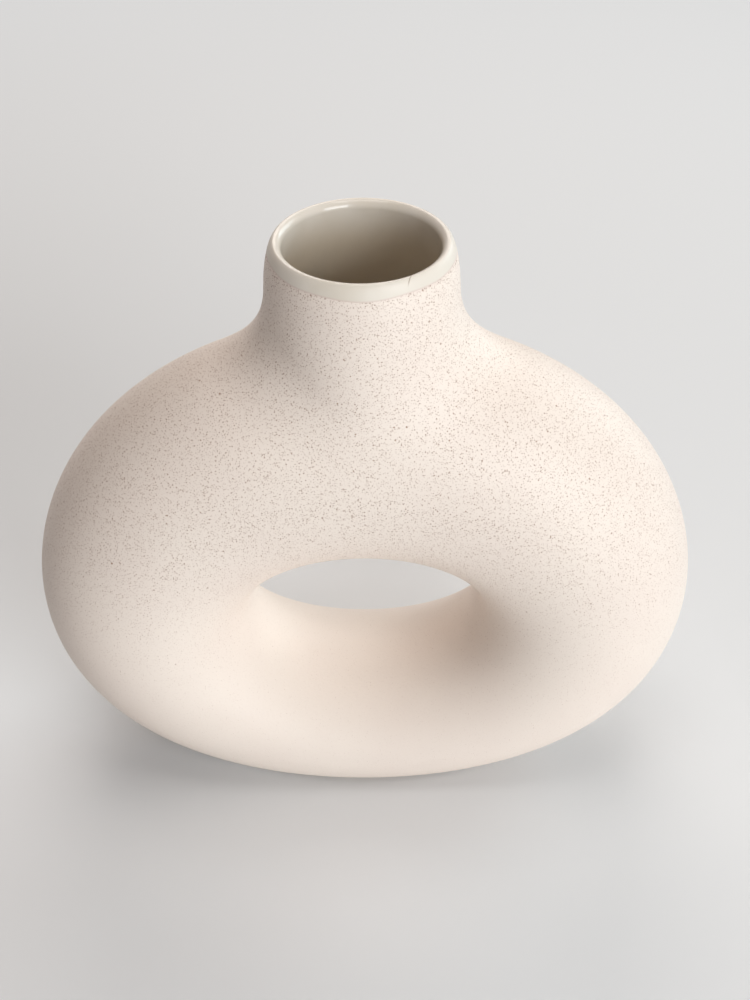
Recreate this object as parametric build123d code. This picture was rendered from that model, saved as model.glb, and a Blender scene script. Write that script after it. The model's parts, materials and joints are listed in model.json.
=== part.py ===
from build123d import *
import math
import os

# Donut vase: an upright hollow ring with an oval hole, a short neck on its crown and a flat foot.
# Millimetres, +Z up, X across the ring, Y through the hole, -Y the front. The origin is under the
# middle of the foot, on the surface that the vase stands on. The clay is two half rings, a neck and
# a base slab, luted together with slip. A speckled glaze coats the outside, and a smooth one lines
# the inside and folds over the lip.

# Ring, measured over the glaze
RING_WIDTH = 200.0
RING_HEIGHT = 163.2
RING_DEPTH = 66.6
FOOT_CUT = 8.0
LOW_WEIGHT_SHARE = 0.08
FULLNESS_SHARE = 0.012
SECTIONS_PER_HALF = 16

# Hole through the ring, measured over the glaze
HOLE_WIDTH = 71.6
HOLE_HEIGHT = 47.2
HOLE_LEVEL = 58.3

# Neck, measured over the glaze
NECK_HEIGHT = 28.3
MOUTH_WIDTH = 42.9
LIP_THICKNESS = 4.45
NECK_ROOT_INSET = 3.6
NECK_BLEND = 14.0

# Rounding of the lip: its share of the neck's height, the lip's share that it takes outside, and the
# share of what is left that a second rounding takes inside
LIP_RISE_SHARE = 0.40
LIP_OUTER_SHARE = 0.55
LIP_INNER_SHARE = 0.80

# Clay walls and slip seams
CLAY_WALL = 4.5
BASE_THICKNESS = 6.0
FOOT_BEVEL = 0.8
SEAM_THICKNESS = 1.0
NECK_SEAM_RISE = 4.0

# Glazes: thickness of each, and the bare or lined bands that they leave
COAT_THICKNESS = 0.5
LINER_THICKNESS = 0.4
BARE_FOOT_HEIGHT = 1.8
LIP_BAND_HEIGHT = 3.3

# Overrun of every cutting body
OVERRUN = 10.0

# Levels and radii that follow from these sizes
RING_CENTRE = RING_HEIGHT / 2 - FOOT_CUT
CROWN = RING_HEIGHT - FOOT_CUT
RIM = CROWN + NECK_HEIGHT
NECK_ROOT = (CROWN + HOLE_LEVEL + HOLE_HEIGHT / 2) / 2
NECK_SEAM = CROWN + NECK_SEAM_RISE
LIP_LINE = RIM - LIP_BAND_HEIGHT
LIP_SPRING = RIM - LIP_RISE_SHARE * NECK_HEIGHT
LIP_FLAT = LIP_THICKNESS - LIP_OUTER_SHARE * LIP_THICKNESS
CLAY_LIP_FLAT = LIP_FLAT - COAT_THICKNESS - LINER_THICKNESS
REACH = RING_WIDTH + RING_DEPTH + OVERRUN
QUARTER_TURNS = (0, 90, 180, 270, 360)

# Length of a curve's handles, as a share of each side, that makes it a quarter oval
HANDLE_SHARE = 4 / 3 * (math.sqrt(2) - 1)


def ring_section(turn, inset):
    """Oval section of the ring at an angle from +X, in the plane through its hole and outer outlines."""
    fullness = 1 + FULLNESS_SHARE * math.sin(2 * turn) ** 2
    outer_x = RING_WIDTH / 2 * math.cos(turn) * (fullness - LOW_WEIGHT_SHARE * math.sin(turn))
    outer_z = RING_CENTRE + RING_HEIGHT / 2 * math.sin(turn) * fullness
    hole_x = HOLE_WIDTH / 2 * math.cos(turn)
    hole_z = HOLE_LEVEL + HOLE_HEIGHT / 2 * math.sin(turn)
    outer = Vector(outer_x, 0, outer_z)
    hole = Vector(hole_x, 0, hole_z)
    inward = (hole - outer).normalized()
    across = inward.cross(Vector(0, 1, 0))
    plane = Plane(origin=(outer + hole) / 2, x_dir=inward, z_dir=across)
    half_height = (hole - outer).length / 2 - inset
    half_depth = RING_DEPTH / 2 - inset
    starts_and_ends = zip(QUARTER_TURNS[:-1], QUARTER_TURNS[1:])
    return Wire([Edge.make_ellipse(half_height, half_depth, plane, *arc) for arc in starts_and_ends])


def half_ring(start, inset):
    """Half a turn of the ring from a start angle, its surface drawn in by an inset."""
    turns = [start + math.pi * step / SECTIONS_PER_HALF for step in range(SECTIONS_PER_HALF + 1)]
    return Solid.make_loft([ring_section(turn, inset) for turn in turns])


def ring(inset):
    """The whole ring, its surface drawn in by an inset."""
    return half_ring(0, inset) + half_ring(math.pi, inset)


def stem(inset):
    """Tapered solid of the neck, from inside the crown to the rim, with a quarter oval up to the lip."""
    root_radius = RING_DEPTH / 2 - NECK_ROOT_INSET - inset
    side_radius = MOUTH_WIDTH / 2 + LIP_THICKNESS - inset
    top = RIM - inset
    taper = (root_radius - side_radius) / (top - NECK_ROOT)
    rounding = LIP_OUTER_SHARE * LIP_THICKNESS
    rise = top - LIP_SPRING
    root = Vector(root_radius, NECK_ROOT)
    spring = Vector(side_radius + taper * rise, LIP_SPRING)
    crest = Vector(side_radius - rounding, top)
    spring_handle = spring + Vector(-taper * rise, rise) * HANDLE_SHARE
    crest_handle = crest + Vector(rounding, 0) * HANDLE_SHARE
    side = Polyline((0, top), (0, NECK_ROOT), root, spring)
    outline = [side, Bezier(spring, spring_handle, crest_handle, crest), Line(crest, (0, top))]
    return revolve(Plane.XZ * make_face(outline), Axis.Z)


def body(inset):
    """Solid outer form of the vase, with the neck blended into the crown."""
    whole = ring(inset) + stem(inset)
    neck_face = whole.faces().filter_by(GeomType.CONE)[0]
    junction = neck_face.edges().filter_by(GeomType.BSPLINE)
    return fillet(junction, NECK_BLEND + inset)


def band(low, high, width=REACH, y_align=Align.CENTER):
    """Block between two levels, wide enough to cut the whole vase across."""
    block = Box(REACH, width, high - low, align=(Align.CENTER, y_align, Align.MIN))
    return Pos(0, 0, low) * block


def bore(radius):
    """Round way in through the neck, from inside the crown to above the rim."""
    height = RIM + OVERRUN - NECK_ROOT
    return Pos(0, 0, NECK_ROOT) * Cylinder(radius, height, align=(Align.CENTER, Align.CENTER, Align.MIN))


def hollow(inset, radius, floor):
    """Inside of the ring above a floor, with the way in through the neck."""
    return (ring(inset) & band(floor, CROWN)) + bore(radius)


def round_lip(collar, flat):
    """Round the inner edge of a collar's flat top."""
    rim = collar.edges().filter_by(GeomType.CIRCLE).group_by(Axis.Z)[-1]
    return fillet(rim.sort_by(SortBy.RADIUS)[0], LIP_INNER_SHARE * flat)


def make_base(clay):
    """Flat slab that closes the ring below, with its foot edge bevelled."""
    slab = clay & band(0, BASE_THICKNESS)
    return chamfer(slab.faces().sort_by(Axis.Z)[0].edges(), FOOT_BEVEL)


def make_liner(neck, clay_hollow):
    """Smooth glaze over the inside, the lip and a narrow band below it."""
    air = hollow(
        COAT_THICKNESS + CLAY_WALL + LINER_THICKNESS,
        MOUTH_WIDTH / 2,
        BASE_THICKNESS + LINER_THICKNESS,
    )
    lining = (clay_hollow & band(BASE_THICKNESS, LIP_LINE)) - air
    collar = (stem(0) & band(LIP_LINE, RIM)) - bore(MOUTH_WIDTH / 2)
    return lining + (round_lip(collar, LIP_FLAT) - neck)


def make_pieces():
    """Every piece of the vase by name."""
    clay = body(COAT_THICKNESS) & band(0, RIM)
    clay_hollow = hollow(
        COAT_THICKNESS + CLAY_WALL, MOUTH_WIDTH / 2 + LINER_THICKNESS, BASE_THICKNESS
    )
    shell = clay - clay_hollow
    walls_start = BASE_THICKNESS + SEAM_THICKNESS
    walls = shell & band(walls_start, NECK_SEAM)
    front_side = Pos(0, -SEAM_THICKNESS / 2, 0) * band(walls_start, NECK_SEAM, REACH, Align.MAX)
    front_half = walls & front_side
    seams = (walls & band(walls_start, NECK_SEAM, SEAM_THICKNESS)).solids().sort_by(Axis.X)
    neck = round_lip(shell & band(NECK_SEAM + SEAM_THICKNESS, RIM), CLAY_LIP_FLAT)
    return {
        "front_half": front_half,
        "rear_half": mirror(front_half, about=Plane.XZ),
        "outer_seam_left": seams[0],
        "hole_seam": seams[1],
        "outer_seam_right": seams[2],
        "neck": neck,
        "neck_seam": shell & band(NECK_SEAM, NECK_SEAM + SEAM_THICKNESS),
        "base": make_base(clay),
        "base_seam": shell & band(BASE_THICKNESS, walls_start),
        "speckled_glaze": (body(0) - clay) & band(BARE_FOOT_HEIGHT, LIP_LINE),
        "liner_glaze": make_liner(neck, clay_hollow),
    }


os.makedirs("parts", exist_ok=True)
for name, piece in make_pieces().items():
    solid = piece.solid()
    solid.label = name
    export_step(solid, f"parts/{name}.step")
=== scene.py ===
"""Looks of an upright ring vase: speckled matte glaze outside, smooth glossy glaze inside, bare clay foot.

Metres, +Z up, X across the ring, Y through its hole and -Y the front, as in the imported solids.
"""

import json
import logging
import math
from collections.abc import Callable
from dataclasses import dataclass
from enum import Enum
from typing import Protocol

import bpy
import numpy as np
from mathutils import Matrix, Vector


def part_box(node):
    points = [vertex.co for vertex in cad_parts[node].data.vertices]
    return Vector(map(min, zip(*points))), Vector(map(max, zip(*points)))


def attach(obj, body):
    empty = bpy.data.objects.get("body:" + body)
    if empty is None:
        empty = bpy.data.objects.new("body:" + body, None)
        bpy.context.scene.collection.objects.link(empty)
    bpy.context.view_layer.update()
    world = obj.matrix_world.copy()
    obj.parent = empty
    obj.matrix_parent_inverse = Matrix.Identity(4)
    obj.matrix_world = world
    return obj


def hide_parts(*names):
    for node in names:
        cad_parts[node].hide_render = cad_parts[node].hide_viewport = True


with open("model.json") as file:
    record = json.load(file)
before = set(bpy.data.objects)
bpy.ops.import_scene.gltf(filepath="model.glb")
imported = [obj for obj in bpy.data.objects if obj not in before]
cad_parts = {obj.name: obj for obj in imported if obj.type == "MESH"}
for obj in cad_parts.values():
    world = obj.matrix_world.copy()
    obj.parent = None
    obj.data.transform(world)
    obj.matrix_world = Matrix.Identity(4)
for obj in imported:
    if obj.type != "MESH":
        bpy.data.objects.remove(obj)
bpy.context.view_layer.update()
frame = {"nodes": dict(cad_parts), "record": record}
LOG = logging.getLogger("vase")

Array = np.ndarray
Colour = tuple[float, float, float]
Socket = bpy.types.NodeSocket
Value = Socket | float

# Step of the slope measure, least divisor, largest step of an angle's search in radians, and angle past
# which an edge stays sharp
PROBE = 1e-6
TINY = 1e-12
LARGEST_STEP = 0.3
SHARP_ANGLE = math.radians(50.0)

# Millimetres in a metre, for the sizes of mounts
MM_PER_M = 1000

# Numbers of a colour mix's sockets, which share their names with other kinds of mix
MIX_SHARE, MIX_FIRST, MIX_SECOND, MIX_RESULT = 0, 6, 7, 2

# Colour of a surface that gives no light back
BLACK: Colour = (0.0, 0.0, 0.0)


class Form(Protocol):
    """A closed form, known by its level: below zero inside, zero on the surface, a distance near it."""

    def level(self, points: Array) -> Array:
        """Level of the form at every point."""


def slope(form: Form, points: Array) -> Array:
    """Measure how a form's level rises, by central differences along the three axes.

    Args:
        form: The form whose level is measured.
        points: Points of any grid shape, with x, y and z last.

    Returns:
        The gradient of the level at every point.
    """
    steps = PROBE * np.eye(3)
    rises = [form.level(points + step) - form.level(points - step) for step in steps]
    return np.stack(rises, -1) / (2 * PROBE)


def facing(form: Form, points: Array) -> Array:
    """Give the unit normal of a form at every point, which is its slope at length one."""
    lean = slope(form, points)
    return lean / np.linalg.norm(lean, axis=-1, keepdims=True)


def settle(form: Form, points: Array, rounds: int = 9) -> Array:
    """Move points onto a form's surface by Newton steps along its slope.

    Args:
        form: The form to settle on.
        points: First guess of the points.
        rounds: How many steps are taken.

    Returns:
        The points on the surface, in the same grid shape.
    """
    for _ in range(rounds):
        lean = slope(form, points)
        share = form.level(points) / np.maximum((lean**2).sum(-1), TINY)
        points = points - share[..., None] * lean
    return points


def ease(value: Array) -> Array:
    """Smooth step from 0 to 1: 3 t squared less 2 t cubed, with t held between 0 and 1."""
    held = np.clip(value, 0.0, 1.0)
    return held * held * (3 - 2 * held)


def soft_least(first: Array, second: Array, width: Array | float) -> Array:
    """Lesser of two levels, rounded with a parabola where they are closer than a width."""
    span = np.maximum(width, TINY)
    overlap = np.maximum(span - np.abs(first - second), 0.0) / span
    return np.minimum(first, second) - overlap**2 * span / 4


@dataclass(frozen=True)
class RingForm:
    """Oval ring that stands upright, heavier below than above, with an oval hole below its middle."""

    width: float = 0.2000
    height: float = 0.1632
    depth: float = 0.0666
    foot_cut: float = 0.0080
    low_weight: float = 0.08
    fullness: float = 0.012
    hole_width: float = 0.0716
    hole_height: float = 0.0472
    hole_level: float = 0.0583
    inset: float = 0.0

    @property
    def crown(self) -> float:
        """Level of the ring's highest point."""
        return self.height - self.foot_cut

    @property
    def heart(self) -> float:
        """Level of the middle of the crown's section."""
        return (self.crown + self.hole_level + self.hole_height / 2) / 2

    def outlines(self, turn: Array) -> tuple[Array, Array]:
        """Follow the outer outline and the hole's outline, seen from the front.

        With k = 1 + fullness sin(2t) squared, the outer outline is x = W/2 cos t (k - low sin t) and
        z = middle + H/2 sin t k. The hole is a plain oval about its own level.

        Args:
            turn: Angles from +X.

        Returns:
            The x and z of both outlines at these angles.
        """
        sine, cosine = np.sin(turn), np.cos(turn)
        full = 1 + self.fullness * np.sin(2 * turn) ** 2
        middle = self.height / 2 - self.foot_cut
        outer_x = self.width / 2 * cosine * (full - self.low_weight * sine)
        outer_z = middle + self.height / 2 * sine * full
        hole_x = self.hole_width / 2 * cosine
        hole_z = self.hole_level + self.hole_height / 2 * sine
        return np.stack([outer_x, outer_z], -1), np.stack([hole_x, hole_z], -1)

    def surface(self, turn: Array, around: Array) -> Array:
        """Place points on the ring: an oval section, carried round between the two outlines.

        Args:
            turn: Angles along the ring, from +X.
            around: Angles round the section, from its outermost point.

        Returns:
            The points, in the grid shape of the angles.
        """
        outer, hole = self.outlines(turn)
        half = np.linalg.norm(outer - hole, axis=-1) / 2
        outward = (outer - hole) / (2 * half[..., None])
        flat = (outer + hole) / 2 + outward * ((half - self.inset) * np.cos(around))[..., None]
        across = (self.depth / 2 - self.inset) * np.sin(around)
        return np.stack([flat[..., 0], across, flat[..., 1]], -1)

    def aside(self, turn: Array, flat: Array) -> Array:
        """Signed area between points and the section line at an angle, zero where they lie on it."""
        outer, hole = self.outlines(turn)
        line, offset = outer - hole, flat - hole
        return offset[..., 0] * line[..., 1] - offset[..., 1] * line[..., 0]

    def turn_of(self, points: Array, rounds: int = 8) -> Array:
        """Find the section that each point lies in, by Newton steps on its angle.

        Args:
            points: Points of any grid shape.
            rounds: How many steps are taken.

        Returns:
            The angle from +X of every point's section.
        """
        flat = points[..., [0, 2]]
        rise = (flat[..., 1] - self.hole_level) / self.hole_height
        turn = np.arctan2(rise, flat[..., 0] / self.hole_width)
        for _ in range(rounds):
            change = self.aside(turn + PROBE, flat) - self.aside(turn - PROBE, flat)
            rate = np.where(np.abs(change) < TINY**2, TINY, change) / (2 * PROBE)
            turn = turn - np.clip(self.aside(turn, flat) / rate, -LARGEST_STEP, LARGEST_STEP)
        return turn

    def level(self, points: Array) -> Array:
        """Level of the ring: in each section, the usual first-order distance to an oval, k0 (k0 - 1) / k1."""
        outer, hole = self.outlines(self.turn_of(points))
        half = np.linalg.norm(outer - hole, axis=-1) / 2
        outward = (outer - hole) / (2 * half[..., None])
        along = ((points[..., [0, 2]] - (outer + hole) / 2) * outward).sum(-1)
        high, deep = half - self.inset, self.depth / 2 - self.inset
        scaled = np.hypot(along / high, points[..., 1] / deep)
        steep = np.hypot(along / high**2, points[..., 1] / deep**2)
        return scaled * (scaled - 1) / np.maximum(steep, TINY)

    def reach(self, angle: Array, height: Array) -> Array:
        """Find the ring's lowest closed line at a height, by halving the way out from the Z axis.

        Args:
            angle: Directions round Z.
            height: Height of the line in each direction.

        Returns:
            The points of that line.
        """
        start, end = np.zeros_like(angle), np.full_like(angle, self.width / 2)
        radius = halve(lambda middle: self.level(around_axis(middle, angle, height)) < 0, start, end)
        return around_axis(radius, angle, height)

    def ceiling(self, angle: Array, radius: float) -> Array:
        """Find where upright lines at a radius leave the crown, by halving the way up from its middle.

        Args:
            angle: Directions round Z.
            radius: Distance of the lines from the Z axis.

        Returns:
            The points where they leave it.
        """
        start, end = np.full_like(angle, self.heart), np.full_like(angle, self.crown)
        height = halve(lambda middle: self.level(around_axis(radius, angle, middle)) < 0, start, end)
        return around_axis(radius, angle, height)


def halve(inside: Callable[[Array], Array], near: Array, far: Array, rounds: int = 48) -> Array:
    """Find where a form ends between a value inside it and one outside, by halving the way again and again.

    Args:
        inside: Tells for every value whether it lies in the form.
        near: Values inside.
        far: Values outside.
        rounds: How often the way is halved.

    Returns:
        The values at the form's end.
    """
    for _ in range(rounds):
        middle = (near + far) / 2
        within = inside(middle)
        near, far = np.where(within, middle, near), np.where(within, far, middle)
    return far


def around_axis(radius: Array, angle: Array, height: Array) -> Array:
    """Points at a radius, an angle and a height about the Z axis."""
    radius, angle, height = np.broadcast_arrays(radius, angle, height)
    return np.stack([radius * np.cos(angle), radius * np.sin(angle), height], -1)


def about_axis(points: Array) -> Array:
    """Angles of points about the Z axis."""
    return np.arctan2(points[..., 1], points[..., 0])


def steps_to(rows: int) -> Array:
    """Even shares of a way for a number of rows, past its start and up to its end."""
    return np.linspace(0.0, 1.0, rows + 1)[1:, None, None]


def between(first: Array, second: Array, share: Array) -> Array:
    """Points on the straight way from one point to another, by their share of it."""
    return (1 - share) * first + share * second


@dataclass(frozen=True)
class StemForm:
    """Upright round stem about the Z axis, which may widen downwards and round in towards its rim."""

    rim_radius: float
    rim: float
    taper: float = 0.0
    shoulder_rise: float = TINY
    shoulder_inset: float = 0.0

    @property
    def spring(self) -> float:
        """Level where the rounding towards the rim starts."""
        return self.rim - self.shoulder_rise

    def radius(self, height: Array) -> Array:
        """Radius at a height: it grows with the depth below the rim, less a quarter oval above the spring."""
        share = np.clip((height - self.spring) / self.shoulder_rise, 0.0, 1.0)
        rounding = self.shoulder_inset * (1 - np.sqrt(1 - share**2))
        return self.rim_radius + self.taper * (self.rim - height) - rounding

    def level(self, points: Array) -> Array:
        """Level of the stem: distance from its slanted wall."""
        wall = np.hypot(points[..., 0], points[..., 1]) - self.radius(points[..., 2])
        return wall / math.hypot(1.0, self.taper)


@dataclass(frozen=True)
class VaseForm:
    """Ring and stem drawn into one form, with a wide hollow at the sides and a shallow one in front."""

    ring: RingForm
    stem: StemForm
    side_blend: float
    front_blend: float
    crease: float

    def level(self, points: Array) -> Array:
        """Level of the whole: the softened least of ring and stem, above the middle of the crown."""
        ring, stem = self.ring.level(points), self.stem.level(points)
        square = points[..., :2] ** 2
        sideways = square[..., 0] / np.maximum(square.sum(-1), TINY)
        rise = ease((points[..., 2] - self.ring.heart) / (self.crease - self.ring.heart))
        width = rise * (self.front_blend + (self.side_blend - self.front_blend) * sideways)
        joined = soft_least(ring, stem, width)
        return np.where(points[..., 2] > self.ring.heart, joined, ring)


@dataclass(frozen=True)
class FlooredForm:
    """A hollow that a flat floor cuts off below, with a soft corner."""

    hollow: RingForm
    floor: float
    corner: float

    def level(self, points: Array) -> Array:
        """Level of the hollow above the floor: the softened greater of both."""
        below = self.floor - points[..., 2]
        return -soft_least(-self.hollow.level(points), -below, self.corner)


class Window(Enum):
    """Places left open in the ring's grid: angle along the ring, reach each way, reach round the section."""

    CROWN = (90.0, 32.0, 95.0)
    FOOT = (-90.0, 38.0, 80.0)


@dataclass(frozen=True)
class RingGrid:
    """Grid over a ring, a number of steps along it and round its section, with open windows."""

    form: RingForm
    turns: int = 240
    arounds: int = 112

    def points(self) -> Array:
        """Every point of the grid, window or not."""
        turn = np.linspace(0.0, 2 * np.pi, self.turns, endpoint=False)
        around = np.linspace(0.0, 2 * np.pi, self.arounds, endpoint=False)
        return self.form.surface(*np.meshgrid(turn, around, indexing="ij"))

    def lines(self, window: Window) -> tuple[Array, Array]:
        """Grid lines that bound a window: first and last along the ring, then round the section."""
        middle, along, round_section = window.value
        turn_lines = np.array([middle - along, middle + along]) * self.turns / 360
        around_lines = np.array([-round_section, round_section]) * self.arounds / 360
        return np.rint(turn_lines).astype(int), np.rint(around_lines).astype(int)

    def index(self, turn: Array, around: Array) -> Array:
        """Number of the grid point at a pair of lines, counted round and round."""
        return (turn % self.turns) * self.arounds + around % self.arounds

    def quads(self) -> Array:
        """Faces of the grid outside the windows, by the numbers of their four points."""
        turn, around = np.meshgrid(np.arange(self.turns), np.arange(self.arounds), indexing="ij")
        closed = np.ones(turn.shape, bool)
        for window in Window:
            (first, last), (low, high) = self.lines(window)
            along = (turn - first) % self.turns < last - first
            closed &= ~(along & ((around - low) % self.arounds < high - low))
        turn, around = turn[closed], around[closed]
        corners = [(0, 0), (1, 0), (1, 1), (0, 1)]
        return np.stack([self.index(turn + step, around + side) for step, side in corners], -1)

    def loop(self, window: Window) -> Array:
        """Numbers of the points round a window, in order."""
        (first, last), (low, high) = self.lines(window)
        turns, arounds = np.arange(first, last), np.arange(low, high)
        edges = [
            self.index(turns, np.full_like(turns, low)),
            self.index(np.full_like(arounds, last), arounds),
            self.index(turns[::-1] + 1, np.full_like(turns, high)),
            self.index(np.full_like(arounds, first), arounds[::-1] + 1),
        ]
        return np.concatenate(edges)


def into_scene(name: str, data: bpy.types.ID) -> bpy.types.Object:
    """Make an object and link it into the scene.

    Args:
        name: Name of the object.
        data: Its mesh, light or camera.

    Returns:
        The new object, which sits at the origin.
    """
    made = bpy.data.objects.new(name, data)
    bpy.context.scene.collection.objects.link(made)
    return made


class Side(Enum):
    """Sides that a skin can face."""

    OUTWARDS = 1
    INWARDS = -1


class Weave:
    """Points, normals and quads of one skin, gathered patch by patch, with the loops round its windows."""

    def __init__(self, ring: RingForm, side: Side) -> None:
        """Start with the grid of a ring.

        Args:
            ring: The ring that carries the skin.
            side: The side that the skin faces.
        """
        grid = RingGrid(ring)
        points = grid.points()
        self.points: Array = points.reshape(-1, 3)
        self.normals: Array = side.value * facing(ring, points).reshape(-1, 3)
        self.quads: Array = grid.quads()
        self.crown: Array = grid.loop(Window.CROWN)
        self.foot: Array = grid.loop(Window.FOOT)

    def add(self, points: Array, normals: Array) -> Array:
        """Take in a grid of points with their normals.

        Args:
            points: Points of any grid shape.
            normals: Their unit normals, in the same shape.

        Returns:
            The numbers of the points, in the same grid shape.
        """
        numbers = np.arange(points[..., 0].size) + len(self.points)
        self.points = np.concatenate([self.points, points.reshape(-1, 3)])
        self.normals = np.concatenate([self.normals, normals.reshape(-1, 3)])
        return numbers.reshape(points.shape[:-1])

    def strip(self, loops: Array) -> None:
        """Join closed loops of points, each row to the next one."""
        here, after = loops[:-1], loops[1:]
        corners = [here, np.roll(here, -1, 1), np.roll(after, -1, 1), after]
        self.quads = np.concatenate([self.quads, np.stack(corners, -1).reshape(-1, 4)])

    def fan(self, loop: Array, centre: Array) -> None:
        """Close an even loop onto one point, with a quad for each two of its edges."""
        first, middle, last = loop[::2], loop[1::2], np.roll(loop[::2], -1)
        corners = [np.full_like(first, centre), first, middle, last]
        self.quads = np.concatenate([self.quads, np.stack(corners, -1)])

    def tidy(self) -> Array:
        """Drop the points that no face uses and turn every face to its normals.

        Returns:
            The numbers of the points that were kept.
        """
        kept, numbers = np.unique(self.quads, return_inverse=True)
        self.quads = numbers.reshape(-1, 4)
        self.points, self.normals = self.points[kept], self.normals[kept]
        corners = self.points[self.quads]
        across = np.cross(corners[:, 2] - corners[:, 0], corners[:, 3] - corners[:, 1])
        backwards = (across * self.normals[self.quads].sum(1)).sum(-1) < 0
        self.quads[backwards] = self.quads[backwards, ::-1]
        return kept

    def thicken(self, thickness: float) -> None:
        """Back the skin with a second one at a thickness behind it, and close its open edges."""
        count = len(self.points)
        starts, ends = self.quads.ravel(), np.roll(self.quads, -1, 1).ravel()
        open_edges = ~np.isin(starts * count + ends, ends * count + starts)
        low, high = starts[open_edges], ends[open_edges]
        rim = np.stack([high, low, low + count, high + count], -1)
        self.quads = np.concatenate([self.quads, self.quads[:, ::-1] + count, rim])
        self.points = np.concatenate([self.points, self.points - thickness * self.normals])

    def piece(self, name: str) -> bpy.types.Object:
        """Make the skin an object of the scene, smooth but for its sharp edges.

        Args:
            name: Name of the piece.

        Returns:
            The new object, which sits at the origin.
        """
        mesh = bpy.data.meshes.new(name)
        mesh.from_pydata(self.points.tolist(), [], self.quads.tolist())
        mesh.shade_smooth()
        mesh.set_sharp_from_angle(angle=SHARP_ANGLE)
        return into_scene(name, mesh)


@dataclass(frozen=True)
class DippedEdge:
    """Line where one glaze stops: a level that wanders a little on its way round."""

    height: float
    sway: float
    lobes: tuple[int, int]
    start: float

    def at(self, angle: Array) -> Array:
        """Height of the line in each direction: two waves about its level."""
        first, second = self.lobes
        wave = np.sin(first * angle + self.start) + np.sin(second * angle - self.start) / 2
        return self.height + self.sway * wave


@dataclass
class SpeckledCoat:
    """Matte outer glaze, from the bare edge of the foot up to the lip line."""

    form: VaseForm
    lip_edge: DippedEdge
    foot_edge: DippedEdge
    thickness: float
    neck_rows: int = 46
    foot_rows: int = 14

    def neck_points(self, loop: Array) -> Array:
        """Carry rows from the lip line down to the crown's window.

        Each spoke starts as a parabola in its own upright half-plane, and is then settled on the form.

        Args:
            loop: Points round the window.

        Returns:
            Rows of points, the lip line first, without the window's own.
        """
        angle = about_axis(loop)
        height = self.lip_edge.at(angle)
        top = around_axis(self.form.stem.radius(height), angle, height)
        knee_height = (self.form.ring.crown + loop[:, 2]) / 2
        knee = around_axis(self.form.stem.radius(knee_height), angle, knee_height)
        share = steps_to(self.neck_rows)[:-1]
        guess = (1 - share) ** 2 * top + 2 * share * (1 - share) * knee + share**2 * loop
        return np.concatenate([top[None], settle(self.form, guess)])

    def foot_points(self, loop: Array) -> Array:
        """Carry rows from the foot's window to the line above the bare edge, settled on the ring.

        Args:
            loop: Points round the window.

        Returns:
            Rows of points without the window's own, the bare edge last.
        """
        angle = about_axis(loop)
        edge = self.form.ring.reach(angle, self.foot_edge.at(angle))
        rows = settle(self.form.ring, between(loop, edge, steps_to(self.foot_rows)[:-1]))
        return np.concatenate([rows, edge[None]])

    def build(self) -> bpy.types.Object:
        """Build the coat as one closed skin.

        Returns:
            The coat's object.
        """
        weave = Weave(self.form.ring, Side.OUTWARDS)
        neck = self.neck_points(weave.points[weave.crown])
        weave.strip(np.vstack([weave.add(neck, facing(self.form, neck)), weave.crown]))
        hem = self.foot_points(weave.points[weave.foot])
        weave.strip(np.vstack([weave.foot, weave.add(hem, facing(self.form.ring, hem))]))
        weave.tidy()
        weave.thicken(self.thickness)
        return weave.piece("speckled_coat")


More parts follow.
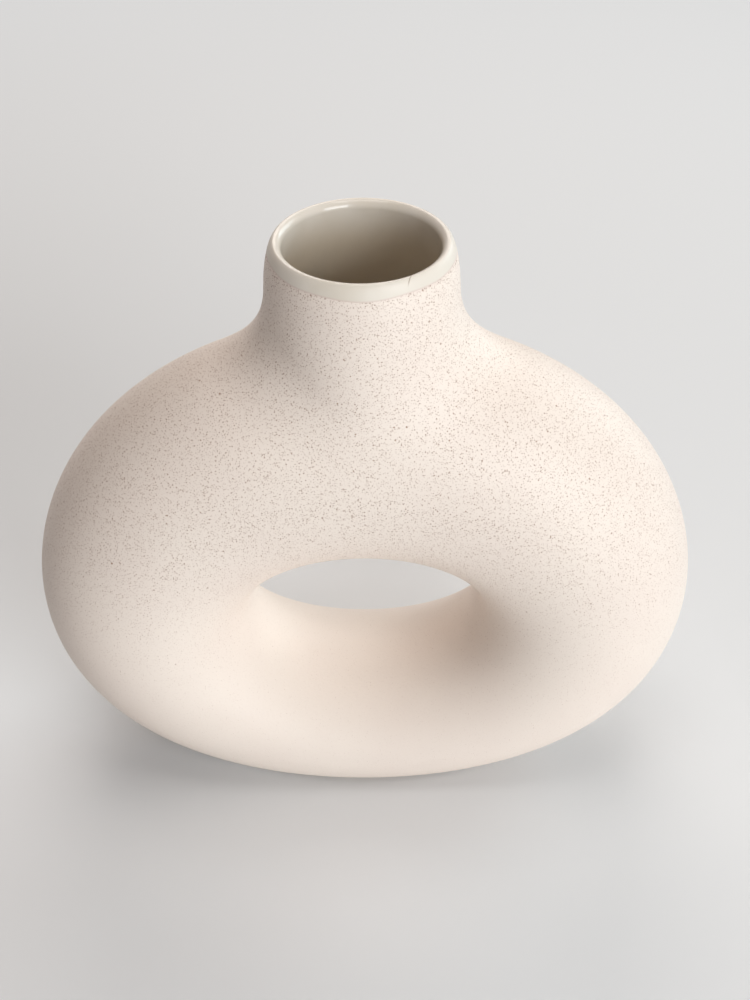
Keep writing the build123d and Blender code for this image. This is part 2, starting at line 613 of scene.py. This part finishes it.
@dataclass
class LinerCoat:
    """Smooth glaze over a band below the lip, the lip itself and the whole inside."""

    form: VaseForm
    outside: StemForm
    lip_edge: DippedEdge
    floor: float
    thickness: float
    inner_rise: float = 0.0024
    floor_corner: float = 0.006
    outer_rows: int = 26
    inner_rows: int = 14
    bore_rows: int = 14
    throat_rows: int = 6
    ceiling_rows: int = 19
    wall_rows: int = 12
    floor_rows: int = 16

    def lip_profile(self, angle: Array) -> tuple[Array, Array]:
        """Follow the lip from its lower edge outside, over the crest and down into the bore.

        Outside it keeps to the neck's rounding, by the angle of that quarter oval. Inside, a smaller
        quarter oval leads from the crest to the straight bore.

        Args:
            angle: Directions round the axis.

        Returns:
            Radius and height of every row in every direction.
        """
        neck, bore = self.outside, self.form.stem
        first = np.arcsin((self.lip_edge.at(angle) - neck.spring) / neck.shoulder_rise)[None]
        climb = first + (np.pi / 2 - first) * np.linspace(0.0, 1.0, self.outer_rows)[:, None]
        outer_height = neck.spring + neck.shoulder_rise * np.sin(climb)
        outer_radius = neck.radius(outer_height)
        crest = neck.radius(np.array(neck.rim))
        fall = np.linspace(0.0, np.pi / 2, self.inner_rows + 1)[1:, None] + 0 * first
        inner_height = neck.rim - self.inner_rise * (1 - np.cos(fall))
        inner_radius = crest - (crest - bore.rim_radius) * np.sin(fall)
        drop = np.linspace(0.0, 1.0, self.bore_rows + 1)[1:, None] + 0 * first
        bore_height = inner_height[-1] + (self.form.ring.crown - inner_height[-1]) * drop
        bore_radius = bore.radius(bore_height)
        radius = np.concatenate([outer_radius, inner_radius, bore_radius])
        return radius, np.concatenate([outer_height, inner_height, bore_height])

    def throat_points(self, top: Array, loop: Array) -> Array:
        """Carry rows straight down to the corner of bore and hollow, then out to the crown's window.

        Args:
            top: Last row of the bore.
            loop: Points round the window.

        Returns:
            Rows of points between the two.
        """
        corner = self.form.ring.ceiling(about_axis(loop), self.form.stem.rim_radius)
        down = between(top, corner, steps_to(self.throat_rows))
        outwards = between(corner, loop, steps_to(self.ceiling_rows)[:-1])
        return np.concatenate([down, settle(self.form.ring, outwards)])

    def floor_points(self, hollow: FlooredForm, loop: Array) -> Array:
        """Carry rows from the foot's window inside, down the wall and in over the floor.

        Args:
            hollow: The hollow with its floor.
            loop: Points round the window.

        Returns:
            Rows of points that close in on the floor's middle.
        """
        angle = about_axis(loop)
        edge = self.form.ring.reach(angle, np.full_like(angle, self.floor))
        middle = np.array([0.0, 0.0, self.floor])
        down = between(loop, edge, steps_to(self.wall_rows))
        inwards = between(edge, middle, steps_to(self.floor_rows)[:-1])
        return settle(hollow, np.concatenate([down, inwards]))

    def build(self) -> bpy.types.Object:
        """Build the liner as one closed skin, with each point's way from the lower edge as an attribute.

        Returns:
            The liner's object.
        """
        ring = self.form.ring
        weave = Weave(ring, Side.INWARDS)
        crown, foot = weave.points[weave.crown], weave.points[weave.foot]
        angle = about_axis(crown)
        radius, height = self.lip_profile(angle)
        lip = around_axis(radius, angle[None], height)
        out, up = np.gradient(radius, axis=0), np.gradient(height, axis=0)
        length = np.hypot(out, up)
        lip_normals = around_axis(up / length, angle[None], -out / length)
        lip_numbers = weave.add(lip, lip_normals)
        throat = self.throat_points(lip[-1], crown)
        throat_numbers = weave.add(throat, -facing(self.form, throat))
        weave.strip(np.vstack([lip_numbers, throat_numbers, weave.crown]))
        hollow = FlooredForm(ring, self.floor, self.floor_corner)
        rows = self.floor_points(hollow, foot)
        row_numbers = weave.add(rows, -facing(hollow, rows))
        weave.strip(np.vstack([weave.foot, row_numbers]))
        middle = np.array([[0.0, 0.0, self.floor]])
        weave.fan(row_numbers[-1], weave.add(middle, np.array([[0.0, 0.0, 1.0]]))[0])
        way = np.full(len(weave.points), ring.height)
        way[lip_numbers] = np.cumsum(length, axis=0) - length[:1]
        way = way[weave.tidy()]
        weave.thicken(self.thickness)
        made = weave.piece("liner_coat")
        attribute = made.data.attributes.new("edge_way", "FLOAT", "POINT")
        attribute.data.foreach_set("value", np.tile(way, 2).astype(np.float32))
        return made


class Sum(Enum):
    """Sums that a finish works out on its textures."""

    ADD = "ADD"
    LESS = "SUBTRACT"
    TIMES = "MULTIPLY"
    OVER = "DIVIDE"
    POWER = "POWER"
    SIZE = "ABSOLUTE"
    GREATER = "MAXIMUM"


class Recipe:
    """Node tree of one finish, put together with short calls. Sizes are in metres."""

    def __init__(self, name: str) -> None:
        """Start a material with its shader and the object's own coordinates."""
        self.material = bpy.data.materials.new(name)
        self.material.use_nodes = True
        self.tree = self.material.node_tree
        self.tree.nodes.clear()
        self.shader = self.tree.nodes.new("ShaderNodeBsdfPrincipled")
        output = self.tree.nodes.new("ShaderNodeOutputMaterial")
        self.tree.links.new(self.shader.outputs["BSDF"], output.inputs["Surface"])
        self.place: Socket = self.tree.nodes.new("ShaderNodeTexCoord").outputs["Object"]

    def feed(self, socket: Socket, value: Value | Colour) -> None:
        """Link a socket to another one, or set its own value."""
        if isinstance(value, Socket):
            self.tree.links.new(value, socket)
        elif isinstance(value, tuple):
            socket.default_value = (*value, 1.0)
        else:
            socket.default_value = value

    def give(self, **values: Value | Colour) -> None:
        """Feed the shader's own sockets, named with _ for a space."""
        for name, value in values.items():
            self.feed(self.shader.inputs[name.replace("_", " ")], value)

    def sum(self, kind: Sum, first: Value, second: Value = 0.0, held: bool = False) -> Socket:
        """Work out a sum of two values, held between 0 and 1 if asked."""
        node = self.tree.nodes.new("ShaderNodeMath")
        node.operation = kind.value
        node.use_clamp = held
        self.feed(node.inputs[0], first)
        self.feed(node.inputs[1], second)
        return node.outputs[0]

    def fade(self, value: Value, start: float, end: float, low: float = 0.0, high: float = 1.0) -> Socket:
        """Rise smoothly from low to high while a value goes from start to end."""
        node = self.tree.nodes.new("ShaderNodeMapRange")
        node.interpolation_type = "SMOOTHSTEP"
        for name, number in (("From Min", start), ("From Max", end), ("To Min", low), ("To Max", high)):
            node.inputs[name].default_value = number
        self.feed(node.inputs["Value"], value)
        return node.outputs["Result"]

    def axis(self, letter: str) -> Socket:
        """One of the object's own coordinates: X, Y or Z."""
        node = self.tree.nodes.new("ShaderNodeSeparateXYZ")
        self.feed(node.inputs["Vector"], self.place)
        return node.outputs[letter]

    def own(self, name: str) -> Socket:
        """Value of the piece's own attribute."""
        node = self.tree.nodes.new("ShaderNodeAttribute")
        node.attribute_name = name
        return node.outputs["Fac"]

    def cloud(self, size: float, detail: float) -> Socket:
        """Cloudy noise with features of a size, about one half on average."""
        node = self.tree.nodes.new("ShaderNodeTexNoise")
        node.inputs["Scale"].default_value = 1 / size
        node.inputs["Detail"].default_value = detail
        self.feed(node.inputs["Vector"], self.place)
        return node.outputs["Fac"]

    def strayed(self, size: float, distance: float) -> Socket:
        """The object's coordinates, strayed by noise of a size over a distance."""
        noise = self.tree.nodes.new("ShaderNodeTexNoise")
        noise.inputs["Scale"].default_value = 1 / size
        self.feed(noise.inputs["Vector"], self.place)
        shift = self.tree.nodes.new("ShaderNodeVectorMath")
        shift.operation = "MULTIPLY_ADD"
        self.feed(shift.inputs[0], noise.outputs["Color"])
        shift.inputs[1].default_value = (distance,) * 3
        self.feed(shift.inputs[2], self.place)
        return shift.outputs["Vector"]

    def seeds(self, spacing: float, place: Socket) -> tuple[Socket, Socket, Socket]:
        """Scatter one seed in each cell of a spacing.

        Args:
            spacing: Mean distance of the seeds.
            place: Coordinates to scatter them on.

        Returns:
            Distance from the nearest seed in metres, and two random numbers of that seed.
        """
        node = self.tree.nodes.new("ShaderNodeTexVoronoi")
        node.inputs["Scale"].default_value = 1 / spacing
        self.feed(node.inputs["Vector"], place)
        parts = self.tree.nodes.new("ShaderNodeSeparateColor")
        self.feed(parts.inputs["Color"], node.outputs["Color"])
        distance = self.sum(Sum.TIMES, node.outputs["Distance"], spacing)
        return distance, parts.outputs["Red"], parts.outputs["Green"]

    def tint(self, share: Value, first: Socket | Colour, second: Socket | Colour) -> Socket:
        """Go from one colour to another by a share."""
        node = self.tree.nodes.new("ShaderNodeMix")
        node.data_type = "RGBA"
        self.feed(node.inputs[MIX_SHARE], share)
        self.feed(node.inputs[MIX_FIRST], first)
        self.feed(node.inputs[MIX_SECOND], second)
        return node.outputs[MIX_RESULT]

    def relief(self, height: Socket, depth: float) -> None:
        """Raise the surface in the shading, by a height from 0 to 1 over a depth."""
        node = self.tree.nodes.new("ShaderNodeBump")
        node.inputs["Distance"].default_value = depth
        self.feed(node.inputs["Height"], height)
        self.give(Normal=node.outputs["Normal"])


@dataclass(frozen=True)
class Cloud:
    """Cloudy noise: size of its features, detail, and the two values between which it fades from 0 to 1."""

    size: float
    detail: float
    low: float
    high: float

    def share(self, recipe: Recipe) -> Socket:
        """Share of the cloud at each point, from 0 to 1."""
        return recipe.fade(recipe.cloud(self.size, self.detail), self.low, self.high)


@dataclass(frozen=True)
class Relief:
    """Small unevenness of a surface: size of its features, detail and depth."""

    size: float
    detail: float
    depth: float

    def press(self, recipe: Recipe) -> None:
        """Put the unevenness into a finish."""
        recipe.relief(recipe.cloud(self.size, self.detail), self.depth)


@dataclass(frozen=True)
class Specks:
    """One spray of specks: spacing of the seeds, largest radius, how few are large, edge and strength."""

    spacing: float
    largest: float
    rarity: float
    softness: float
    faintest: float
    strongest: float

    def mask(self, recipe: Recipe, place: Socket, thinning: Value) -> Socket:
        """Paint the specks: full within a radius that differs from seed to seed.

        Args:
            recipe: The finish that they belong to.
            place: Coordinates, strayed so that no speck is a plain dot.
            thinning: Share of the full size at each point.

        Returns:
            Their strength at each point, from 0 to 1.
        """
        distance, first, second = recipe.seeds(self.spacing, place)
        size = recipe.sum(Sum.TIMES, recipe.sum(Sum.POWER, first, self.rarity), self.largest)
        inside = recipe.sum(Sum.LESS, recipe.sum(Sum.TIMES, size, thinning), distance)
        cover = recipe.sum(Sum.OVER, inside, self.softness, held=True)
        strength = recipe.fade(second, 0.0, 1.0, self.faintest, self.strongest)
        return recipe.sum(Sum.TIMES, cover, strength)


@dataclass(frozen=True)
class SpeckledGlaze:
    """Matte warm cream glaze with fine brown specks, finer towards the foot, and a blush at the lip line."""

    lip_line: float
    cream: Colour = (0.86, 0.765, 0.685)
    blush: Colour = (0.80, 0.69, 0.62)
    clouds: Cloud = Cloud(0.045, 3.0, 0.35, 0.70)
    cloud_tint: float = 0.45
    grain: Cloud = Cloud(0.0007, 2.0, 0.30, 0.75)
    grain_tint: float = 0.12
    speck_brown: Colour = (0.23, 0.085, 0.025)
    sprays: tuple[Specks, ...] = (
        Specks(0.00038, 0.00015, 0.7, 0.00004, 0.30, 0.90),
        Specks(0.00059, 0.00020, 0.5, 0.00004, 0.45, 1.00),
        Specks(0.00300, 0.00034, 1.5, 0.00006, 0.80, 1.00),
    )
    line_specks: Specks = Specks(0.0009, 0.00042, 0.7, 0.00012, 0.25, 0.80)
    stray_size: float = 0.0005
    stray_distance: float = 0.00014
    line_width: float = 0.0012
    blush_width: float = 0.0007
    blush_tint: float = 0.6
    thin_below: float = 0.020
    thick_above: float = 0.115
    least_share: float = 0.40
    roughness: tuple[float, float] = (0.50, 0.62)
    specular: float = 0.42
    relief: Relief = Relief(0.0009, 4.0, 0.00003)

    def material(self) -> bpy.types.Material:
        """Mix the glaze.

        Returns:
            The finished material.
        """
        recipe = Recipe("speckled_glaze")
        height = recipe.axis("Z")
        cloud, grain = self.clouds.share(recipe), self.grain.share(recipe)
        ground = recipe.tint(recipe.sum(Sum.TIMES, cloud, self.cloud_tint), self.cream, self.blush)
        ground = recipe.tint(recipe.sum(Sum.TIMES, grain, self.grain_tint), ground, self.blush)
        place = recipe.strayed(self.stray_size, self.stray_distance)
        thinning = recipe.fade(height, self.thin_below, self.thick_above, self.least_share, 1.0)
        near_line = recipe.fade(height, self.lip_line - self.line_width, self.lip_line - self.line_width / 2)
        cover = self.line_specks.mask(recipe, place, near_line)
        for spray in self.sprays:
            cover = recipe.sum(Sum.GREATER, cover, spray.mask(recipe, place, thinning))
        edge = recipe.fade(height, self.lip_line - self.blush_width, self.lip_line)
        ground = recipe.tint(recipe.sum(Sum.TIMES, edge, self.blush_tint), ground, self.blush)
        colour = recipe.tint(cover, ground, self.speck_brown)
        roughness = recipe.fade(grain, 0.0, 1.0, *self.roughness)
        recipe.give(Base_Color=colour, Roughness=roughness, Specular_IOR_Level=self.specular)
        self.relief.press(recipe)
        return recipe.material


@dataclass(frozen=True)
class LinerGlaze:
    """Smooth glossy grey-cream glaze, with painted shade that darkens it deep inside the bore, a thin pink
    line at its lower edge and one hairline in the lip.
    """

    grey_cream: Colour = (0.745, 0.685, 0.605)
    warm_cream: Colour = (0.70, 0.635, 0.545)
    clouds: Cloud = Cloud(0.012, 3.0, 0.35, 0.70)
    # Painted shade deep inside the bore: a darker cream, and the way from the lower edge over which it sets
    # in
    painted_shade_cream: Colour = (0.63, 0.545, 0.43)
    painted_shade_way: tuple[float, float] = (0.0070, 0.0200)
    pink: Colour = (0.66, 0.515, 0.455)
    pink_width: float = 0.0006
    pink_tint: float = 0.65
    dull_until: float = 0.0026
    shiny_from: float = 0.0052
    dull_roughness: float = 0.44
    shiny_roughness: float = 0.11
    uneven: Cloud = Cloud(0.006, 3.0, 0.3, 0.7)
    uneven_roughness: float = 0.06
    specular: float = 0.5
    relief: Relief = Relief(0.007, 2.0, 0.00012)
    crack: Colour = (0.46, 0.375, 0.295)
    hairline_width: float = 0.00009
    hairline_turn: float = math.radians(72.3)
    hairline_offset: float = 0.01795
    hairline_stray: float = 0.0006
    hairline_bends: float = 0.002
    hairline_back: float = -0.0180
    hairline_back_fade: float = 0.0005
    hairline_front: float = -0.0220
    hairline_front_fade: float = 0.0010

    def hairline(self, recipe: Recipe) -> Socket:
        """Trace the hairline: near an upright plane beside the axis, between two ends, a little crooked."""
        depth = recipe.axis("Y")
        across = recipe.sum(
            Sum.LESS,
            recipe.sum(Sum.TIMES, recipe.axis("X"), math.sin(self.hairline_turn)),
            recipe.sum(Sum.TIMES, depth, math.cos(self.hairline_turn)),
        )
        bends = recipe.cloud(self.hairline_bends, detail=1.0)
        crooked = recipe.sum(Sum.TIMES, bends, self.hairline_stray)
        middle = recipe.sum(Sum.ADD, crooked, self.hairline_offset - self.hairline_stray / 2)
        off = recipe.sum(Sum.SIZE, recipe.sum(Sum.LESS, across, middle))
        line = recipe.fade(off, self.hairline_width * 2, self.hairline_width / 2)
        start = recipe.fade(depth, self.hairline_back, self.hairline_back - self.hairline_back_fade)
        end = recipe.fade(depth, self.hairline_front, self.hairline_front + self.hairline_front_fade)
        return recipe.sum(Sum.TIMES, recipe.sum(Sum.TIMES, line, start), end)

    def material(self) -> bpy.types.Material:
        """Mix the glaze.

        Returns:
            The finished material.
        """
        recipe = Recipe("liner_glaze")
        way = recipe.own("edge_way")
        ground = recipe.tint(self.clouds.share(recipe), self.grey_cream, self.warm_cream)
        # Painted shade: the glaze darkens with its way from the lower edge, deep inside the bore
        ground = recipe.tint(recipe.fade(way, *self.painted_shade_way), ground, self.painted_shade_cream)
        edge = recipe.fade(way, self.pink_width, 0.0)
        ground = recipe.tint(recipe.sum(Sum.TIMES, edge, self.pink_tint), ground, self.pink)
        colour = recipe.tint(self.hairline(recipe), ground, self.crack)
        shine = recipe.fade(way, self.dull_until, self.shiny_from, self.dull_roughness, self.shiny_roughness)
        uneven = recipe.sum(Sum.TIMES, self.uneven.share(recipe), self.uneven_roughness)
        roughness = recipe.sum(Sum.ADD, shine, uneven)
        recipe.give(Base_Color=colour, Roughness=roughness, Specular_IOR_Level=self.specular)
        self.relief.press(recipe)
        return recipe.material


@dataclass(frozen=True)
class BareClay:
    """Fired clay without glaze: fine sandy grain and a few darker grits."""

    name: str
    pale: Colour
    deep: Colour
    clouds: Cloud = Cloud(0.018, 3.0, 0.30, 0.72)
    cloud_tint: float = 0.6
    sand: Cloud = Cloud(0.0005, 2.0, 0.35, 0.72)
    sand_tint: float = 0.35
    grit: Colour = (0.25, 0.17, 0.12)
    grits: Specks = Specks(0.0016, 0.00035, 1.6, 0.00012, 0.2, 0.7)
    stray_size: float = 0.0006
    stray_distance: float = 0.0003
    roughness: tuple[float, float] = (0.80, 0.92)
    specular: float = 0.3
    relief: Relief = Relief(0.0004, 3.0, 0.00008)

    def material(self) -> bpy.types.Material:
        """Mix the clay.

        Returns:
            The finished material.
        """
        recipe = Recipe(self.name)
        cloud, sand = self.clouds.share(recipe), self.sand.share(recipe)
        ground = recipe.tint(recipe.sum(Sum.TIMES, cloud, self.cloud_tint), self.pale, self.deep)
        ground = recipe.tint(recipe.sum(Sum.TIMES, sand, self.sand_tint), ground, self.deep)
        place = recipe.strayed(self.stray_size, self.stray_distance)
        colour = recipe.tint(self.grits.mask(recipe, place, thinning=1.0), ground, self.grit)
        roughness = recipe.fade(sand, 0.0, 1.0, *self.roughness)
        recipe.give(Base_Color=colour, Roughness=roughness, Specular_IOR_Level=self.specular)
        self.relief.press(recipe)
        return recipe.material


@dataclass
class ClayBody:
    """The clay pieces and slip seams, kept as they are in the frame and dressed in bare clay."""

    clay: BareClay = BareClay("bare_clay", (0.62, 0.50, 0.39), (0.52, 0.40, 0.30))
    slip: BareClay = BareClay("fired_slip", (0.58, 0.47, 0.37), (0.48, 0.37, 0.28))

    def dress(self) -> None:
        """Give every clay and slip node its finish."""
        finishes = {"clay": self.clay.material(), "slip": self.slip.material()}
        for part in frame["record"]["subparts"]:
            finish = finishes.get(part["material_slot"])
            if finish is None:
                continue
            for slot in frame["nodes"][part["node"]].material_slots:
                slot.material = finish
            LOG.info("%s: dressed in %s", part["node"], finish.name)


def heading(bearing: float, elevation: float) -> Vector:
    """Point away from the vase.

    Args:
        bearing: Angle from the front towards the right, in radians.
        elevation: Angle above the floor, in radians.

    Returns:
        The direction, at length one.
    """
    flat = math.cos(elevation)
    return Vector((math.sin(bearing) * flat, -math.cos(bearing) * flat, math.sin(elevation)))


@dataclass(frozen=True)
class Lamp:
    """Square soft light that faces the vase, with its bearing and elevation in degrees."""

    name: str
    bearing: float
    elevation: float
    watts: float
    colour: Colour
    distance: float = 1.7
    side: float = 1.0

    def light(self, aim: Vector) -> None:
        """Hang the lamp at its distance from a point and turn it there, unseen by the camera itself."""
        data = bpy.data.lights.new(self.name, "AREA")
        data.size = self.side
        data.energy = self.watts
        data.color = self.colour
        made = into_scene(self.name, data)
        way = heading(math.radians(self.bearing), math.radians(self.elevation))
        made.location = aim + self.distance * way
        made.rotation_euler = (-way).to_track_quat("-Z", "Y").to_euler()
        made.visible_camera = False


@dataclass(frozen=True)
class Viewpoint:
    """Camera in front of the vase and above it, at the distance and lens of a close hand-held picture."""

    turn: float = math.radians(0.48)
    elevation: float = math.radians(39.30)
    roll: float = math.radians(-0.556)
    distance: float = 0.45877
    clip_share: float = 0.01
    aim_height: float = 0.08655
    lens: float = 54.04
    shift: tuple[float, float] = (0.01076, 0.02252)

    def place(self) -> None:
        """Set the camera up and make it the scene's own."""
        data = bpy.data.cameras.new("view")
        data.lens = self.lens
        data.shift_x, data.shift_y = self.shift
        data.clip_start = self.clip_share * self.distance
        camera = into_scene("view", data)
        back = heading(self.turn, self.elevation)
        right = (-back).cross(Vector((0.0, 0.0, 1.0))).normalized()
        rotation = Matrix((right, back.cross(right), back)).transposed()
        spin = Matrix.Rotation(self.roll, 3, "Z")
        place = Vector((0.0, 0.0, self.aim_height)) + back * self.distance
        camera.matrix_world = Matrix.Translation(place) @ (rotation @ spin).to_4x4()
        bpy.context.scene.camera = camera


def seen_share(tree: bpy.types.NodeTree) -> Socket:
    """Tell the rays that see, mirror or look through from those that only light.

    Args:
        tree: Node tree to work in.

    Returns:
        1 for the first kind and 0 for the other.
    """
    path = tree.nodes.new("ShaderNodeLightPath")
    seen = path.outputs["Is Camera Ray"]
    for way in ("Is Glossy Ray", "Is Transmission Ray"):
        either = tree.nodes.new("ShaderNodeMath")
        either.operation = "MAXIMUM"
        tree.links.new(seen, either.inputs[0])
        tree.links.new(path.outputs[way], either.inputs[1])
        seen = either.outputs[0]
    return seen


@dataclass(frozen=True)
class Studio:
    """Pale floor in a pale room, soft light from the right, from behind and from above, and the camera."""

    floor_side: float = 12.0
    floor_fade: tuple[float, float] = (0.35, 1.00)
    floor_colour: Colour = (0.78, 0.79, 0.80)
    floor_roughness: float = 0.75
    fill_colour: Colour = (0.125, 0.104, 0.096)
    room_colour: Colour = (0.70, 0.70, 0.70)
    aim: tuple[float, float, float] = (0.0, 0.0, 0.09)
    lamps: tuple[Lamp, ...] = (
        Lamp("front_right", 35.0, 16.0, 23.8, (0.94, 0.98, 1.0)),
        Lamp("rear_right", 130.0, 18.0, 9.6, (0.80, 0.95, 1.0)),
        Lamp("rear", 180.0, 40.0, 9.5, (1.0, 0.92, 0.86)),
        Lamp("above", 0.0, 90.0, 10.3, (1.0, 0.96, 0.92)),
    )

    def floor(self) -> None:
        """Lay the floor under the foot: a square that is lit near the vase and fades into the pale room."""
        half = self.floor_side / 2
        corners = [(-half, -half, 0.0), (half, -half, 0.0), (half, half, 0.0), (-half, half, 0.0)]
        mesh = bpy.data.meshes.new("floor")
        mesh.from_pydata(corners, [], [(0, 1, 2, 3)])
        recipe = Recipe("floor")
        squares = [recipe.sum(Sum.POWER, recipe.sum(Sum.SIZE, recipe.axis(letter)), 2.0) for letter in "XY"]
        away = recipe.fade(recipe.sum(Sum.POWER, recipe.sum(Sum.ADD, *squares), 0.5), *self.floor_fade)
        faded = recipe.sum(Sum.TIMES, away, seen_share(recipe.tree))
        colour = recipe.tint(faded, self.floor_colour, BLACK)
        recipe.give(Base_Color=colour, Roughness=self.floor_roughness, Specular_IOR_Level=0.0)
        recipe.give(Emission_Color=self.room_colour, Emission_Strength=faded)
        mesh.materials.append(recipe.material)
        into_scene("floor", mesh)

    def sky(self) -> None:
        """Fill the room with faint even light, which is pale where it is seen, mirrored or looked through."""
        world = bpy.data.worlds.new("room")
        world.use_nodes = True
        tree = world.node_tree
        colour = tree.nodes.new("ShaderNodeMix")
        colour.data_type = "RGBA"
        tree.links.new(seen_share(tree), colour.inputs[MIX_SHARE])
        colour.inputs[MIX_FIRST].default_value = (*self.fill_colour, 1.0)
        colour.inputs[MIX_SECOND].default_value = (*self.room_colour, 1.0)
        background = tree.nodes["Background"].inputs
        tree.links.new(colour.outputs[MIX_RESULT], background["Color"])
        background["Strength"].default_value = 1.0
        bpy.context.scene.world = world

    def set_up(self) -> None:
        """Put up floor, lights and camera."""
        self.floor()
        self.sky()
        for lamp in self.lamps:
            lamp.light(Vector(self.aim))
        Viewpoint().place()
        bpy.context.scene.view_settings.view_transform = "Standard"


@dataclass(frozen=True)
class Vase:
    """The whole vase: two glazes to build, with what sizes the frame gives, and the clay to dress."""

    clay_wall: float = 0.0045
    coat_thickness: float = 0.0005
    liner_thickness: float = 0.0004
    lip_thickness: float = 0.00445
    neck_root_inset: float = 0.0036
    shoulder_rise: float = 0.01132
    shoulder_inset: float = 0.00245
    side_blend: float = 0.0165
    front_blend: float = 0.0050
    inner_blend: float = 0.0002
    crease: float = 0.1395
    lip_drop: float = 0.00035
    lip_sway: float = 0.00035
    lip_lobes: tuple[int, int] = (3, 7)
    lip_start: float = math.radians(195.0)
    foot_sway: float = 0.00012
    foot_lobes: tuple[int, int] = (4, 9)
    foot_start: float = 1.9

    def install(self, piece: bpy.types.Object, node: str, finish: bpy.types.Material) -> None:
        """Dress a piece and let it stand for its node.

        Args:
            piece: The new piece.
            node: The node that it replaces.
            finish: Its material.
        """
        piece.data.materials.append(finish)
        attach(piece, "root")
        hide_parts(node)
        LOG.info("%s: %d points, %d faces", piece.name, len(piece.data.vertices), len(piece.data.polygons))

    def build(self) -> None:
        """Build both glazes in the frame's sizes and dress the clay."""
        coat_low, coat_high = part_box("speckled_glaze")
        mouth = next(mount for mount in frame["record"]["mounts"] if mount["name"] == "mouth")
        mouth_radius = mouth["dims"]["r_mm"] / MM_PER_M
        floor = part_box("base")[1].z + self.liner_thickness
        ring = RingForm(depth=coat_high.y - coat_low.y)
        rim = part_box("liner_glaze")[1].z
        rim_radius = mouth_radius + self.lip_thickness
        taper = (ring.depth / 2 - self.neck_root_inset - rim_radius) / (rim - ring.heart)
        neck = StemForm(rim_radius, rim, taper, self.shoulder_rise, self.shoulder_inset)
        lip_edge = DippedEdge(coat_high.z - self.lip_drop, self.lip_sway, self.lip_lobes, self.lip_start)
        foot_edge = DippedEdge(coat_low.z, self.foot_sway, self.foot_lobes, self.foot_start)
        outside = VaseForm(ring, neck, self.side_blend, self.front_blend, self.crease)
        coat = SpeckledCoat(outside, lip_edge, foot_edge, self.coat_thickness).build()
        self.install(coat, "speckled_glaze", SpeckledGlaze(lip_edge.height).material())
        inset = self.coat_thickness + self.clay_wall + self.liner_thickness
        hollow = RingForm(depth=ring.depth, inset=inset)
        bore = StemForm(mouth_radius, rim)
        inside = VaseForm(hollow, bore, self.inner_blend, self.inner_blend, self.crease)
        liner = LinerCoat(inside, neck, lip_edge, floor, self.liner_thickness).build()
        self.install(liner, "liner_glaze", LinerGlaze().material())
        ClayBody().dress()


def write_sizes() -> None:
    """Bring the view layer up to date."""
    bpy.context.view_layer.update()


def main() -> None:
    """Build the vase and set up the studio."""
    logging.basicConfig(level=logging.INFO, format="%(message)s")
    Vase().build()
    Studio().set_up()
    write_sizes()


if __name__ == "__main__":
    main()
